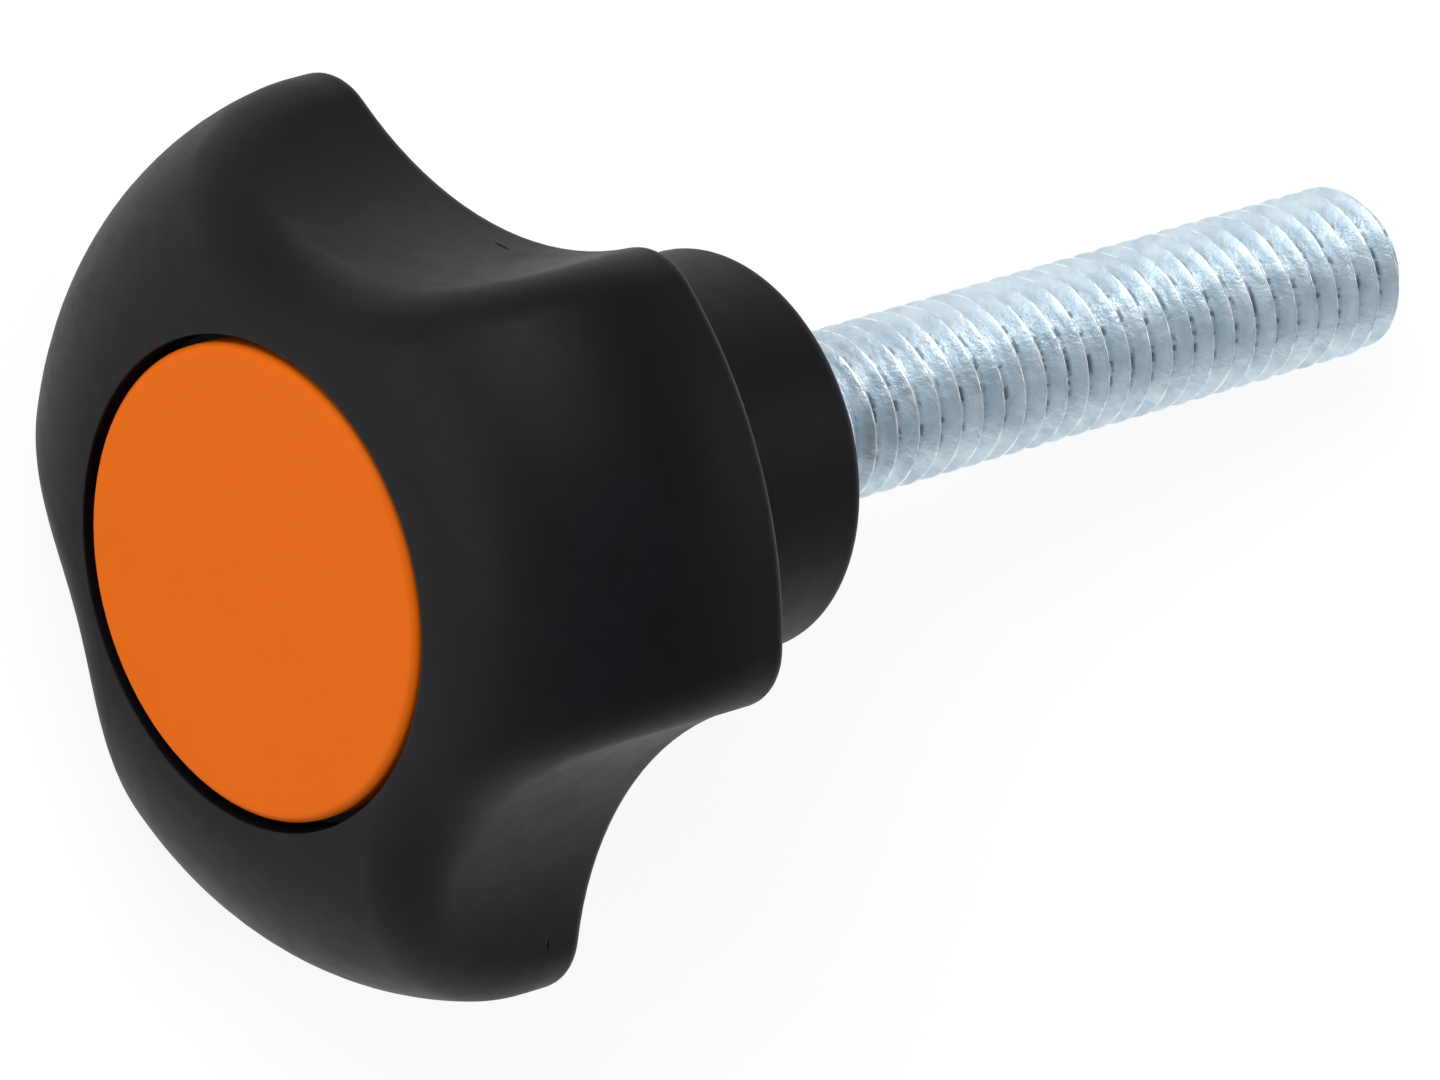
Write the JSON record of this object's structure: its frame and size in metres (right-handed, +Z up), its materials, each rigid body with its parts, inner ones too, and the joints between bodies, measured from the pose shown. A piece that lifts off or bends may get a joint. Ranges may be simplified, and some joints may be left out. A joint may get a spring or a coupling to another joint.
{
  "type": "star knob",
  "caption": "Domed lobed knob with soft concave scallops, a round boss, a flat press-in cap and a threaded steel stud.",
  "frame": {"origin": "Centre of the lying knob's box, on the surface that it rests on", "axes": "+Z up; +X level, from the cap end towards the end of the stud. The knob lies on two lobes and the end of the stud."},
  "size_m": [0.0526, 0.0318, 0.029],
  "materials": {
    "black_nylon": "fine-grained satin black moulding",
    "orange_plastic": "smooth matt orange moulding",
    "zinc_steel": "bright zinc plating with a bluish tint"
  },
  "bodies": {
    "root": {"knob_body": "black_nylon", "cap": "orange_plastic", "threaded_stud": "zinc_steel"}
  },
  "joints": []
}
